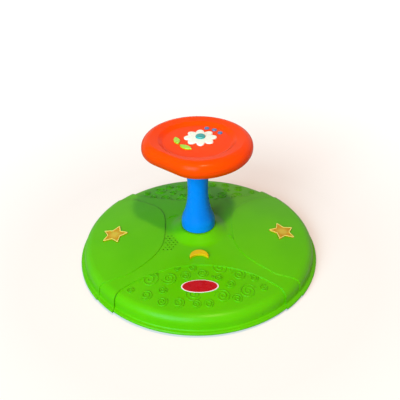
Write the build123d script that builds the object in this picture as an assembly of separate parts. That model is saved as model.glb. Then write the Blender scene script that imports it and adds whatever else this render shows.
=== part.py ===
"""Toddler spinning seat: a moulded seat disc turns on rollers round a fixed
column, and the child pulls on the handwheel on top of the column to spin."""
from build123d import *
import os
from math import asin, cos, degrees, hypot, pi, radians, sin, sqrt

os.makedirs("parts", exist_ok=True)

# ---------------------------------------------------------------- sizes, mm
# Clearances shared by all the pieces
FIT = 0.05            # radial, pins and screws in holes of their own body
RUNNING = 0.06        # radial, what turns on a shaft or pin
GAP = 0.3             # between faces of pieces that move against each other
LOOSE = 0.25          # round lenses and plates dropped into an opening

# Rubber feet and floor base
FOOT_R = 14.0
FOOT_H = 5.0
FOOT_SUNK = 2.0
FOOT_EDGE = 0.8
FOOT_COUNT = 6
FOOT_INSET = 24.0     # of the feet's ring from the base's edge
BASE_INSET = 85.5     # from the seat's edge to the base's, room for the battery box
BASE_PLATE = 3.0
BASE_SKIRT = 7.0
BASE_WALL = 3.0
BASE_RIB = 2.5
BASE_RIBS = 12
TRACK_STEP = 2.0
TRACK_W = 24.0

# Column: flange, shaft, collar and cover
SHAFT_R = 11.0
SHAFT_WALL = 1.6
FLANGE_R = 46.0
FLANGE_PLATE = 4.0
FLANGE_NECK_R = 20.0
FLANGE_TOP_Z = 42.0
FLANGE_SCREW_RING_R = 37.0
GUSSET_T = 3.0
PIN_R = 2.5
COLLAR_R = 17.0
COLLAR_H = 6.0
WASHER_T = 1.5
COVER_FOOT_R = 32.6
COVER_FOOT_H = 9.0
COVER_WAIST_R = 19.5
COVER_WAIST_Z = 142.0
COVER_TOP_R = 24.0
COVER_WALL = 2.8
COVER_SLEEVE_WALL = 2.2
COVER_RIB = 2.0

# Seat disc
SEAT_R = 233.5        # flange radius in the channel between the panels
SEAT_FLANGE_Z = 8.0
SEAT_FLANGE_T = 4.0
SEAT_FLANGE_W = 7.0
SEAT_FLANGE_EDGE = 1.5
SEAT_FLANGE_FALL = 0.5
SEAT_WALL_FOOT = 2.0
SEAT_SKIN = 3.0
WALL_DRAFT = 3.0      # how far the outer wall leans in by the shoulder
CROWN_APEX_Z = 59.0
CROWN_SPHERE_R = 1230.0
SHOULDER_R = 18.0
FLARE_R = 56.0        # where the crown starts to sweep up to the hub
FLARE_BLEND = 24.0
HUB_R = 36.0
HUB_TOP_Z = 69.0
HUB_EDGE = 2.5
HUB_TUBE_R = 19.0
HUB_TUBE_Z = 45.0
PANEL_DROP = 2.6      # end panels below the channel
PANEL_RISE = 1.4      # side panels above the channel
END_PANEL_APEX = 105.0
END_PANEL_ARC_R = 229.0
END_PANEL_HALF = 154.0
END_PANEL_CORNER = 38.0
SIDE_LOBE_X = 66.0
SIDE_LOBE_MID = (72.0, 55.0)
SIDE_LOBE_BEND = (95.0, 91.0)
SIDE_LOBE_TAIL = (128.0, 117.5)
SIDE_LOBE_END = (168.0, 131.0)
SIDE_EDGE_X = 187.0
SIDE_CORNER = 16.0
RIB_T = 2.4
RIB_Z = 31.0
RIB_COUNT = 12
RIB_RING_SHIFT = 4.0  # of the ring rib, from midway between tray and stars towards the tray
RIB_RING_Z = 41.0

# Hub bush
BUSH_R = 15.0
BUSH_FLANGE_R = 20.0
BUSH_FLANGE_T = 2.0

# Rollers under the seat
ROLLER_R = 11.0
ROLLER_W = 14.0
ROLLER_COUNT = 6
TRACK_INSET = 21.0    # of the rollers' ring from the base's edge
AXLE_R = 2.5
BRACKET_PLATE = 3.0
BRACKET_CHEEK = 3.0
BRACKET_HALF_L = 22.0
BRACKET_LUG_R = 6.0
BRACKET_Z = 38.0
BRACKET_SCREW_X = 17.5

# Screws
SCREW_R = 1.5
SCREW_HEAD_R = 3.0
SCREW_HEAD_H = 2.0
SCREW_HEAD_EDGE = 0.8
SCREW_BOSS_R = 4.0

# Star lenses
STAR_INSET = 67.0     # from the seat's edge to the star's middle
STAR_AZ = 88.4        # from the front, to each side
STAR_TIP_R = 28.0
STAR_NOTCH_R = 14.5
STAR_TIP_BLEND = 1.4
STAR_PROUD = 1.8
STAR_RIM = 1.8
STAR_DISH = 0.8
LENS_FLANGE_W = 3.0
LENS_FLANGE_T = 1.6
LAMP_R = 2.5
LAMP_L = 8.0
LAMP_CUP_WALL = 1.8
LAMP_CUP_H = 5.0

# Moon button and its circuit board
MOON_AT_R = 75.5
MOON_R = 17.5
MOON_BITE_R = 19.5
MOON_THICK = 12.5
MOON_PROUD = 4.0
MOON_EDGE = 0.7
MOON_TIP_BLEND = 1.2
MOON_TRAVEL = 2.0
MOON_CLEAR = 0.35
MOON_STEM_R = 3.0
MOON_FLANGE_W = 1.6
MOON_FLANGE_T = 1.5
BOARD_T = 1.6
BOARD_W = 56.0
BOARD_D = 40.0
BOARD_DEPTH = 15.0    # from the crown down to the board's top
DOME_R = 5.0
DOME_H = 2.7
TRAY_WALL = 1.8
TRAY_DEPTH = 8.0
TRAY_CLEAR = 1.2

# Speaker
SPEAKER_AT_R = 70.0
SPEAKER_AZ = -53.0
SPEAKER_R = 20.0
SPEAKER_RIM_T = 2.0
SPEAKER_BASKET_H = 8.0
MAGNET_R = 12.0
MAGNET_H = 6.0
CLAMP_R = 27.0
CLAMP_T = 1.5
CLAMP_SCREW_R = 23.6
GRILLE_HOLE_R = 1.5
GRILLE_PITCH = 7.4
GRILLE_R = 25.0       # round field of holes
GRILLE_AT = (-63.0, -42.0)
GRILLE_EDGE = 3.4     # from a hole's centre to the side panel

# Battery box
CELL_R = 7.1
CELL_L = 50.0
CELL_COUNT = 3
CELL_GAP = 1.0
BOX_OFFSET = 39.0     # from the base's edge out to the box's middle
BOX_WALL = 1.6
BOX_FLOOR_Z = 11.0
DOOR_T = 2.0
CONTACT_T = 0.5
BOX_TAB_W = 11.0

# Plain label on the front panel
LABEL_INSET = 80.0    # from the seat's edge to the label's middle
LABEL_W = 66.0
LABEL_D = 28.0
LABEL_T = 0.8

# Handwheel
WHEEL_R = 100.0
WHEEL_H = 34.0
WHEEL_BOTTOM_Z = 226.0
WHEEL_EDGE_R = 16.4
WHEEL_FLAT = 89.0     # from the axis to the flattened side
WHEEL_FLAT_AZ = -40.0
WHEEL_FLAT_BLEND = 60.0
WHEEL_SKIN = 2.5
DISH_R = 70.0
DISH_DEPTH = 8.0
DISH_LIP = 2.2
DISH_RAMP = 8.0
WHEEL_RIM_CROWN_R = 85.0
WHEEL_SCREWS = 5
WHEEL_SCREW_RING_R = 55.0
WHEEL_BOSS_R = 5.0
SOCKET_DEPTH = 4.0

# Flower set into the dish
FLOWER_X = 6.0
FLOWER_Y = 10.0
PETALS = 8
PETAL_L = 11.0
PETAL_W = 7.6
PETAL_RING_R = 18.5
PETAL_T = 3.0
FLOWER_EYE_R = 9.0
FLOWER_EYE_H = 3.4
LEAF_L = 13.0
LEAF_W = 5.5
LEAF_RING_R = 43.0
LEAF_AZ = (-38.0, -78.0)
DOT_R = 4.6
DOT_RING_R = 41.0
DOT_AZ = (118.0, 140.0, 162.0)
TRIM_T = 2.2
PEG_R = 1.5

# ------------------------------------------------- places and heights that follow
BASE_R = SEAT_R - BASE_INSET
FOOT_RING_R = BASE_R - FOOT_INSET
TRACK_R = BASE_R - TRACK_INSET
STAR_AT_R = SEAT_R - STAR_INSET
LABEL_AT_R = SEAT_R - LABEL_INSET
BOX_AT_R = BASE_R + BOX_OFFSET
CELL_PITCH = 2 * CELL_R + CELL_GAP
TRAY_EDGE_R = MOON_AT_R + BOARD_D / 2 + TRAY_CLEAR + TRAY_WALL
STAR_INNER_R = STAR_AT_R - STAR_TIP_R - LENS_FLANGE_W
RIB_IN_R = (TRAY_EDGE_R + STAR_INNER_R) / 2 - RIB_RING_SHIFT
BASE_Z = FOOT_H - FOOT_SUNK
DECK_Z = BASE_Z + BASE_SKIRT
TRACK_Z = DECK_Z + TRACK_STEP
SEAT_WALL_R = SEAT_R - SEAT_FLANGE_W
ROLLER_Z = TRACK_Z + GAP + ROLLER_R
BUSH_TOP_Z = HUB_TOP_Z + BUSH_FLANGE_T
WASHER_Z = BUSH_TOP_Z + GAP
COLLAR_Z = WASHER_Z + WASHER_T
COVER_SEAT_Z = COLLAR_Z + COLLAR_H
COVER_Z = HUB_TOP_Z + 1.0
COVER_TOP_Z = WHEEL_BOTTOM_Z + SOCKET_DEPTH
WHEEL_TOP_Z = WHEEL_BOTTOM_Z + WHEEL_H
WHEEL_SEAM_Z = WHEEL_BOTTOM_Z + WHEEL_H / 2
SHAFT_TOP_Z = WHEEL_SEAM_Z + 1.0
DISH_Z = WHEEL_TOP_Z - DISH_DEPTH
SPAN = 3 * SEAT_R     # longer than anything it cuts


# ---------------------------------------------------------------- helpers
def pt(r, z):
    """A point of a turned profile."""
    return Vector(r, 0, z)


def turned(*points):
    """Solid of revolution about Z of a closed straight-sided profile."""
    return revolve(make_face(Polyline(*[pt(r, z) for r, z in points], close=True)), Axis.Z)


def tube(outer, inner, low, high):
    """Upright ring or sleeve round the Z axis."""
    return Pos(0, 0, low) * extrude(Circle(outer) - Circle(inner), high - low)


def rod(radius, low, high):
    """Upright cylinder on the Z axis."""
    return Pos(0, 0, low) * extrude(Circle(radius), high - low)


def block(x, y, low, high):
    """Upright box centred on the Z axis."""
    return Pos(0, 0, low) * extrude(Rectangle(x, y), high - low)


def at_polar(r, azimuth, z=0.0):
    """Place at radius r and azimuth degrees from the front, local +Y outward."""
    a = radians(azimuth)
    return Pos(r * sin(a), -r * cos(a), z) * Rot(0, 0, azimuth + 180)


def ring_of(count, r, shape, start=0.0, z=0.0):
    """Copies of a shape evenly round the axis."""
    return [at_polar(r, start + 360 / count * i, z) * shape for i in range(count)]


def fused(shapes):
    """One solid from overlapping shapes."""
    first, *rest = shapes
    return first.fuse(*rest) if rest else first


def nearest(shape, point):
    """The shape's vertex nearest to a point."""
    return min(shape.vertices(), key=lambda v: (Vector(v) - Vector(*point)).length)


def rounded(face, *corners):
    """Round named corners of a flat face: (point, radius) pairs."""
    face = face.face()
    for point, radius in corners:
        face = face.fillet_2d(radius, [nearest(face, point)])
    return face


def crown_z(r):
    """Height of the domed seat top in the channel."""
    return CROWN_APEX_Z - CROWN_SPHERE_R + sqrt(CROWN_SPHERE_R ** 2 - r ** 2)


def on_crown(r, azimuth, level=0.0):
    """Place on the seat's top, local +Z square to the surface, +Y outward."""
    tilt = degrees(asin(r / CROWN_SPHERE_R))
    return at_polar(r, azimuth, crown_z(r) + level) * Rot(-tilt, 0, 0)


def screw(length):
    """Pan-head screw, head underside at z = 0, shank upward."""
    head = extrude(Circle(SCREW_HEAD_R), -SCREW_HEAD_H)
    head = chamfer(head.edges().sort_by(Axis.Z)[0], SCREW_HEAD_EDGE)
    return head + extrude(Circle(SCREW_R), length)


def save(name, shape):
    """Write one node's solids to its STEP file."""
    shape = Compound(children=shape) if isinstance(shape, list) else shape
    shape.label = name
    export_step(shape, f"parts/{name}.step")


# ---------------------------------------------------------------- floor base
def rubber_feet():
    """Pads pressed into shallow seats under the base."""
    pad = chamfer(extrude(Circle(FOOT_R), FOOT_H).edges().sort_by(Axis.Z)[0], FOOT_EDGE)
    return ring_of(FOOT_COUNT, FOOT_RING_R, pad)


def floor_base():
    """Round ribbed pan that stands on the floor and carries the roller track."""
    track_in = TRACK_R - TRACK_W / 2
    track_out = TRACK_R + TRACK_W / 2
    pan = turned((0, BASE_Z), (BASE_R, BASE_Z), (BASE_R, DECK_Z - 2), (BASE_R - 2, DECK_Z),
                 (track_out + 1, DECK_Z), (track_out, TRACK_Z), (track_in, TRACK_Z),
                 (track_in - 1, DECK_Z), (0, DECK_Z))
    under_z = DECK_Z - BASE_PLATE
    pan -= rod(BASE_R - BASE_WALL, BASE_Z - 1, under_z)
    rib_l = BASE_R - BASE_WALL / 2
    rib = Pos(0, rib_l / 2, BASE_Z + 1) * extrude(Rectangle(BASE_RIB, rib_l), BASE_SKIRT - 2)
    ribs = [Rot(0, 0, 360 / BASE_RIBS * (i + 0.5)) * rib for i in range(BASE_RIBS)]
    rings = [tube(FLANGE_R, FLANGE_R - BASE_WALL, BASE_Z + 1, DECK_Z - 1),
             rod(FLANGE_NECK_R, BASE_Z + 1, DECK_Z - 1)]
    foot_boss = extrude(Circle(FOOT_R + BASE_WALL), BASE_SKIRT - 1)
    boss = extrude(Circle(SCREW_BOSS_R + 1), BASE_SKIRT - 1)
    pan = fused([pan, *ribs, *rings, *ring_of(FOOT_COUNT, FOOT_RING_R, foot_boss, 0, BASE_Z),
                 *ring_of(4, FLANGE_SCREW_RING_R, boss, 45, BASE_Z)])
    seat = extrude(Circle(FOOT_R + FIT), FOOT_SUNK + 1)
    pan -= ring_of(FOOT_COUNT, FOOT_RING_R, seat, 0, BASE_Z - 1)
    pilot = extrude(Circle(SCREW_R + FIT), BASE_SKIRT)
    pan -= ring_of(4, FLANGE_SCREW_RING_R, pilot, 45, BASE_Z + 1)
    return pan


def shaft_flange():
    """Conical socket, screwed to the base, that holds the shaft upright."""
    top = DECK_Z + FLANGE_PLATE
    cone = turned((0, DECK_Z), (FLANGE_R, DECK_Z), (FLANGE_R, top), (FLANGE_NECK_R + 4, top),
                  (FLANGE_NECK_R, top + 6), (FLANGE_NECK_R - 2, FLANGE_TOP_Z), (0, FLANGE_TOP_Z))
    outline = Polyline(pt(FLANGE_NECK_R - 4, DECK_Z + 1), pt(FLANGE_R - 2, DECK_Z + 1),
                       pt(FLANGE_R - 2, top + 2), pt(FLANGE_NECK_R - 2, FLANGE_TOP_Z - 3),
                       pt(FLANGE_NECK_R - 4, FLANGE_TOP_Z - 3), close=True)
    gusset = extrude(make_face(outline), GUSSET_T / 2, both=True)
    body = fused([cone, *[Rot(0, 0, 90 * i) * gusset for i in range(4)]])
    body -= rod(SHAFT_R + FIT, DECK_Z - 1, FLANGE_TOP_Z + 1)
    hole = extrude(Circle(SCREW_R + FIT), FLANGE_PLATE + 2)
    body -= ring_of(4, FLANGE_SCREW_RING_R, hole, 45, DECK_Z - 1)
    return body - cross_hole(FLANGE_PIN_Z, FLANGE_R)


def flange_screws():
    """Four screws down through the flange into the base."""
    one = Rot(180, 0, 0) * screw(FLANGE_PLATE + BASE_SKIRT - 2)
    return ring_of(4, FLANGE_SCREW_RING_R, one, 45, DECK_Z + FLANGE_PLATE)


# ---------------------------------------------------------------- column
FLANGE_PIN_Z = (DECK_Z + FLANGE_PLATE + FLANGE_TOP_Z) / 2 + 2
COLLAR_PIN_Z = COLLAR_Z + COLLAR_H / 2
WHEEL_PIN_Z = WHEEL_SEAM_Z - 5


def cross_hole(z, half):
    """Cutter for a pin along X through the shaft's axis."""
    return Pos(-half, 0, z) * Rot(0, 90, 0) * extrude(Circle(PIN_R + FIT), 2 * half)


def cross_pin(z, half):
    """Straight pin along X through the shaft's axis."""
    pin = extrude(Circle(PIN_R), half, both=True)
    return Pos(0, 0, z) * Rot(0, 90, 0) * chamfer(pin.edges().filter_by(GeomType.CIRCLE), 0.5)


def centre_shaft():
    """Steel tube from the flange to the handwheel."""
    shaft = tube(SHAFT_R, SHAFT_R - SHAFT_WALL, DECK_Z, SHAFT_TOP_Z)
    for z in (FLANGE_PIN_Z, COLLAR_PIN_Z, WHEEL_PIN_Z):
        shaft -= cross_hole(z, 2 * SHAFT_R)
    return shaft


def shaft_collar():
    """Pinned collar that keeps the seat from lifting and carries the cover."""
    ring = tube(COLLAR_R, SHAFT_R + FIT, COLLAR_Z, COVER_SEAT_Z)
    return ring - cross_hole(COLLAR_PIN_Z, 2 * COLLAR_R)


def post_cover():
    """Waisted column cover, a thin skin with a ribbed sleeve round the shaft."""
    foot = pt(COVER_FOOT_R, COVER_Z + COVER_FOOT_H)
    knee = pt((COVER_FOOT_R + COVER_WAIST_R) / 2 + 1.7, COVER_Z + 28.7)
    waist = pt(COVER_WAIST_R, COVER_WAIST_Z)
    top = pt(COVER_TOP_R, WHEEL_BOTTOM_Z)
    side = Spline(foot, knee, waist, top, tangents=[(0, 0, 1), (0.03, 0, 1)])

    def skin(inset):
        low = COVER_Z - (1 if inset else 0)
        curve = side if not inset else Spline(*[p - pt(inset, 0) for p in (foot, knee, waist, top)],
                                              tangents=[(0, 0, 1), (0.03, 0, 1)])
        end = COVER_TOP_Z + (1 if inset else 0)
        walls = [curve, Line(pt(0, low), pt(COVER_FOOT_R - inset, low)),
                 Line(pt(COVER_FOOT_R - inset, low), foot - pt(inset, 0)),
                 Line(top - pt(inset, 0), pt(COVER_TOP_R - inset, end)),
                 Line(pt(COVER_TOP_R - inset, end), pt(0, end)), Line(pt(0, end), pt(0, low))]
        return revolve(make_face(walls), Axis.Z)

    outer = skin(0)
    rib = Pos(0, 0, COVER_SEAT_Z) * extrude(Rectangle(2 * COVER_FOOT_R, COVER_RIB),
                                            COVER_TOP_Z - COVER_SEAT_Z)
    core = fused([tube(SHAFT_R + FIT + COVER_SLEEVE_WALL, SHAFT_R + FIT / 2, COVER_SEAT_Z, COVER_TOP_Z),
                  rib, Rot(0, 0, 90) * rib])
    cover = (outer - skin(COVER_WALL)) + (core & outer)
    cover -= rod(SHAFT_R + FIT, COVER_Z, COVER_TOP_Z + 1)
    edge = cover.edges().filter_by(GeomType.CIRCLE).group_by(Axis.Z)[0].sort_by(SortBy.RADIUS)[-1]
    return fillet(edge, 1.5)


# ---------------------------------------------------------------- seat disc
def seat_turning(level, inset=0.0):
    """Solid under the seat's turned profile, raised by level, or its cavity."""
    rise = level - inset
    wall = SEAT_WALL_R + rise
    lean = wall - WALL_DRAFT
    top = pt(lean, crown_z(lean) + rise)
    flare = pt(FLARE_R, crown_z(FLARE_R) + rise)
    mid_r = (lean + FLARE_R) / 2
    crown = ThreePointArc(top, pt(mid_r, crown_z(mid_r) + rise), flare)
    hub = pt(HUB_R - inset * 0.5, HUB_TOP_Z - inset)
    if inset:
        low = -SEAT_FLANGE_Z
        skirt = [pt(0, low), pt(wall, low), top]
    else:
        low = SEAT_FLANGE_Z
        ledge = low + SEAT_FLANGE_T
        rim = SEAT_R + level
        skirt = [pt(0, low), pt(rim, low), pt(rim, ledge - SEAT_FLANGE_EDGE), pt(rim - SEAT_FLANGE_EDGE, ledge),
                 pt(wall + SEAT_FLANGE_EDGE, ledge + SEAT_FLANGE_FALL), pt(wall, ledge + SEAT_WALL_FOOT), top]
    face = make_face([Polyline(*skirt), crown,
                      Polyline(flare, hub, pt(0, HUB_TOP_Z - inset), pt(0, low))])
    return revolve(rounded(face, (top, SHOULDER_R - inset), (flare, FLARE_BLEND), (hub, HUB_EDGE)), Axis.Z)


def end_panel():
    """Plan of the sunk front panel: a wide arch that runs out over the rim."""
    centre = END_PANEL_APEX + END_PANEL_ARC_R
    corner_y = sqrt(END_PANEL_ARC_R ** 2 - END_PANEL_HALF ** 2) - centre
    left = (-END_PANEL_HALF, corner_y)
    right = (END_PANEL_HALF, corner_y)
    arch = ThreePointArc(left, (0, -END_PANEL_APEX), right)
    sides = Polyline(right, (END_PANEL_HALF, -SPAN), (-END_PANEL_HALF, -SPAN), left)
    return rounded(make_face([arch, sides]), ((*left, 0), END_PANEL_CORNER), ((*right, 0), END_PANEL_CORNER))


def side_panel():
    """Plan of the raised right panel: a lobe that swings out to the rim."""
    shape = [SIDE_LOBE_MID, SIDE_LOBE_BEND, SIDE_LOBE_TAIL, SIDE_LOBE_END]
    lower = [(x, -y) for x, y in shape]
    lobe = Spline(*shape[::-1], (SIDE_LOBE_X, 0), *lower, tangents=[(-0.97, -0.2), (0.97, -0.2)])
    tail_x, tail_y = SIDE_LOBE_END
    corner_y = tail_y + (SIDE_EDGE_X - tail_x) * 0.2 / 0.97
    right = Polyline((tail_x, -tail_y), (SIDE_EDGE_X, -corner_y), (SIDE_EDGE_X, -SPAN), (SPAN, -SPAN),
                     (SPAN, SPAN), (SIDE_EDGE_X, SPAN), (SIDE_EDGE_X, corner_y), (tail_x, tail_y))
    return rounded(make_face([lobe, right]), ((SIDE_EDGE_X, -corner_y, 0), SIDE_CORNER),
                   ((SIDE_EDGE_X, corner_y, 0), SIDE_CORNER))


def seat_form(inset=0.0):
    """The whole seat outline with its panels, or the cavity under its skin."""
    low = -2 * SEAT_FLANGE_Z
    plan = offset(end_panel(), inset, kind=Kind.ARC) if inset else end_panel()
    ends = Pos(0, 0, low) * extrude(plan, 2 * HUB_TOP_Z)
    sides = Pos(0, 0, low) * extrude(side_panel(), 2 * HUB_TOP_Z)
    ends = [ends, Rot(0, 0, 180) * ends]
    sides = [sides, Rot(0, 0, 180) * sides]
    channel = seat_turning(0, inset) - ends - sides
    sunk = seat_turning(-PANEL_DROP, inset)
    raised = seat_turning(PANEL_RISE, inset)
    return fused([channel, *[sunk & e for e in ends], *[raised & s for s in sides]])


def star(grow=0.0):
    """Plan of the five-pointed lens, one point towards the hub."""
    step = pi / 5
    radii = [STAR_TIP_R, STAR_NOTCH_R] * 5
    corners = [(-r * sin(step * i), -r * cos(step * i)) for i, r in enumerate(radii)]
    tips = [((*corner, 0), STAR_TIP_BLEND) for corner in corners[::2]]
    outline = rounded(make_face(Polyline(*corners, close=True)), *tips)
    return offset(outline, grow, kind=Kind.ARC) if grow else outline


def moon(grow=0.0):
    """Plan of the crescent button, horns pointing outward."""
    bite = Pos(0, MOON_THICK - MOON_R + MOON_BITE_R) * Circle(MOON_BITE_R)
    face = (Circle(MOON_R) - bite).face()
    tips = face.vertices()
    face = face.fillet_2d(MOON_TIP_BLEND, tips)
    return offset(face, grow, kind=Kind.ARC) if grow else face


STAR_PLACES = [on_crown(STAR_AT_R, azimuth, PANEL_RISE) for azimuth in (-STAR_AZ, STAR_AZ)]
MOON_PLACE = on_crown(MOON_AT_R, 0)
SPEAKER_PLACE = on_crown(SPEAKER_AT_R, SPEAKER_AZ)
MOON_SHIFT = Pos(0, MOON_R - MOON_THICK / 2)
BOARD_SCREWS = [Pos(x, y) for x in (-BOARD_W / 2 + 5, BOARD_W / 2 - 5)
                for y in (-BOARD_D / 2 + 5, BOARD_D / 2 - 5)]
CLAMP_SCREWS = [Rot(0, 0, 120 * i) * Pos(0, CLAMP_SCREW_R) for i in range(3)]
BOX_W = CELL_L + 4 * CONTACT_T + 2 * BOX_WALL + 1.0
BOX_D = CELL_PITCH * CELL_COUNT + 2 * BOX_WALL
BOX_H = 2 * CELL_R + 2 * BOX_WALL + 0.4
BOX_TOP_Z = BOX_FLOOR_Z + BOX_H
BOX_PLACE = at_polar(BOX_AT_R, 0)
BOX_SCREWS = [Pos(x, y) for x in (-BOX_W / 2 - BOX_TAB_W / 2, BOX_W / 2 + BOX_TAB_W / 2)
              for y in (-BOX_D / 4, BOX_D / 4)]


def grille_holes():
    """Staggered speaker holes in a round field, cut off beside the left side panel."""
    panel = Rot(0, 0, 180) * side_panel()
    mid_x, mid_y = GRILLE_AT
    row_pitch = GRILLE_PITCH * sqrt(3) / 2
    reach = int(GRILLE_R / row_pitch) + 1
    cutters = []
    for row in range(-reach, reach + 1):
        for column in range(-reach, reach + 1):
            x = GRILLE_PITCH * (column + row % 2 / 2)
            y = row_pitch * row
            place = Pos(mid_x + x, mid_y + y)
            if hypot(x, y) < GRILLE_R and panel.distance_to(place * Vertex(0, 0, 0)) > GRILLE_EDGE:
                cutters.append(place * rod(GRILLE_HOLE_R, HUB_TUBE_Z, SPAN))
    return cutters


def seat_ribs():
    """Radial and ring ribs, hub tube and screw bosses under the skin."""
    top = HUB_TOP_Z
    length = SEAT_WALL_R - RIB_IN_R
    rib = extrude(Rectangle(RIB_T, length), top - RIB_Z)
    ribs = ring_of(RIB_COUNT, RIB_IN_R + length / 2, rib, 180 / RIB_COUNT, RIB_Z)
    ribs.append(tube(RIB_IN_R + RIB_T / 2, RIB_IN_R - RIB_T / 2, RIB_RING_Z, top))
    ribs.append(rod(HUB_TUBE_R, HUB_TUBE_Z, top))
    hub_rib = extrude(Rectangle(RIB_T, RIB_IN_R), top - HUB_TUBE_Z)
    ribs += [at_polar(RIB_IN_R / 2, 180 + a, HUB_TUBE_Z + 2) * hub_rib for a in (-75, -45, -15, 15, 45, 75)]
    boss = extrude(Circle(SCREW_BOSS_R), top - BRACKET_Z)
    for i in range(ROLLER_COUNT):
        place = at_polar(TRACK_R, 360 / ROLLER_COUNT * (i + 0.5), BRACKET_Z)
        ribs += [place * Pos(x, 0) * boss for x in (-BRACKET_SCREW_X, BRACKET_SCREW_X)]
    board_boss = Pos(0, 0, -BOARD_DEPTH) * extrude(Circle(SCREW_BOSS_R - 0.5), BOARD_DEPTH)
    ribs += [MOON_PLACE * spot * board_boss for spot in BOARD_SCREWS]
    clamp_z = SEAT_SKIN + GAP + SPEAKER_RIM_T
    clamp_boss = Pos(0, 0, -clamp_z) * extrude(Circle(SCREW_R + 1.4), clamp_z)
    ribs += [SPEAKER_PLACE * spot * clamp_boss for spot in CLAMP_SCREWS]
    box_boss = Pos(0, 0, BOX_TOP_Z) * extrude(Circle(SCREW_BOSS_R), top - BOX_TOP_Z)
    ribs += [BOX_PLACE * spot * box_boss for spot in BOX_SCREWS]
    return fused(ribs)


def seat_disc():
    """The moulded seat: domed skin with sunk and raised panels, ribbed below."""
    outer = seat_form()
    disc = (outer - seat_form(SEAT_SKIN)) + (seat_ribs() & outer)
    deep = 3 * SEAT_SKIN
    disc -= rod(BUSH_R + FIT, 0, HUB_TOP_Z + 1)
    cuts = [place * Pos(0, 0, -deep) * extrude(star(LOOSE), 2 * deep) for place in STAR_PLACES]
    cuts.append(MOON_PLACE * Pos(0, 0, -deep) * extrude(MOON_SHIFT * moon(MOON_CLEAR), 2 * deep))
    cuts += grille_holes()
    pilot_z = BRACKET_Z + 9
    pilot = extrude(Circle(SCREW_R + FIT), pilot_z - BRACKET_Z + 1)
    for i in range(ROLLER_COUNT):
        place = at_polar(TRACK_R, 360 / ROLLER_COUNT * (i + 0.5), BRACKET_Z - 1)
        cuts += [place * Pos(x, 0) * pilot for x in (-BRACKET_SCREW_X, BRACKET_SCREW_X)]
    board_pilot = Pos(0, 0, -BOARD_DEPTH - 1) * extrude(Circle(SCREW_R + FIT), BOARD_DEPTH - 3)
    cuts += [MOON_PLACE * spot * board_pilot for spot in BOARD_SCREWS]
    clamp_pilot = Pos(0, 0, -SEAT_SKIN * 3) * extrude(Circle(SCREW_R + FIT), SEAT_SKIN * 2.4)
    cuts += [SPEAKER_PLACE * spot * clamp_pilot for spot in CLAMP_SCREWS]
    box_pilot = Pos(0, 0, BOX_TOP_Z - 1) * extrude(Circle(SCREW_R + FIT), 6)
    cuts += [BOX_PLACE * spot * box_pilot for spot in BOX_SCREWS]
    return disc - cuts


def hub_bush():
    """Flanged nylon bush pressed into the hub, running on the shaft."""
    sleeve = tube(BUSH_R, SHAFT_R + RUNNING, HUB_TUBE_Z, BUSH_TOP_Z)
    return sleeve + tube(BUSH_FLANGE_R, SHAFT_R + RUNNING, HUB_TOP_Z, BUSH_TOP_Z)


def thrust_washer():
    """Loose washer between the bush and the collar."""
    return tube(BUSH_FLANGE_R, SHAFT_R + FIT, WASHER_Z, COLLAR_Z)


# ---------------------------------------------------------------- rollers
def roller():
    """Wheel on its radial axle: rim, thin web and hub, axle along local Y."""
    half = ROLLER_W / 2
    hub = AXLE_R + 2.6
    rim = ROLLER_R - 2.6
    web = half - 3.5
    profile = [(AXLE_R + RUNNING, -half), (hub, -half), (hub + 0.8, -web), (rim - 0.8, -web),
               (rim, -half), (ROLLER_R - 1, -half), (ROLLER_R, -half + 1), (ROLLER_R, half - 1),
               (ROLLER_R - 1, half), (rim, half), (rim - 0.8, web), (hub + 0.8, web), (hub, half),
               (AXLE_R + RUNNING, half)]
    return Rot(90, 0, 0) * turned(*profile)


def roller_bracket():
    """Saddle with two cheeks; local Y runs along the axle, z = 0 at the axle."""
    cheek_in = ROLLER_W / 2 + GAP
    cheek_out = cheek_in + BRACKET_CHEEK
    plate_z = BRACKET_Z - BRACKET_PLATE - ROLLER_Z
    plate = Pos(0, 0, plate_z) * extrude(Rectangle(2 * BRACKET_HALF_L, 2 * cheek_out), BRACKET_PLATE)
    plate = fillet(plate.edges().filter_by(Axis.Z), 4.0)
    lug = make_face([Line((-BRACKET_LUG_R - 3, plate_z + 1), (-BRACKET_LUG_R, 0)),
                     ThreePointArc((-BRACKET_LUG_R, 0), (0, -BRACKET_LUG_R), (BRACKET_LUG_R, 0)),
                     Line((BRACKET_LUG_R, 0), (BRACKET_LUG_R + 3, plate_z + 1)),
                     Line((BRACKET_LUG_R + 3, plate_z + 1), (-BRACKET_LUG_R - 3, plate_z + 1))])
    cheek = Rot(90, 0, 0) * extrude(lug, BRACKET_CHEEK)
    bracket = plate + Pos(0, cheek_out, 0) * cheek + Pos(0, -cheek_in, 0) * cheek
    bracket -= Rot(90, 0, 0) * extrude(Circle(AXLE_R + FIT), cheek_out + 1, both=True)
    for x in (-BRACKET_SCREW_X, BRACKET_SCREW_X):
        bracket -= Pos(x, 0, plate_z - 1) * extrude(Circle(SCREW_R + FIT), BRACKET_PLATE + 2)
    return bracket


def bracket_room():
    """What a bracket takes up with its clearance, to be kept free by what sits beside it."""
    length = 2 * (BRACKET_HALF_L + GAP)
    width = 2 * (ROLLER_W / 2 + 2 * GAP + BRACKET_CHEEK)
    low = BRACKET_Z - BRACKET_PLATE - GAP
    return Pos(0, 0, low - ROLLER_Z) * extrude(Rectangle(length, width), HUB_TOP_Z - low)


def roller_axle():
    """Steel pin with a small head at its inner end."""
    half = ROLLER_W / 2 + GAP + BRACKET_CHEEK
    pin = Rot(90, 0, 0) * extrude(Circle(AXLE_R), half + 0.5, both=True)
    return pin + Pos(0, -half, 0) * Rot(90, 0, 0) * extrude(Circle(AXLE_R + 1.2), 1.2)


def round_track(shape):
    """One copy of a shape at each roller's place."""
    return ring_of(ROLLER_COUNT, TRACK_R, shape, 180 / ROLLER_COUNT, ROLLER_Z)


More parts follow.
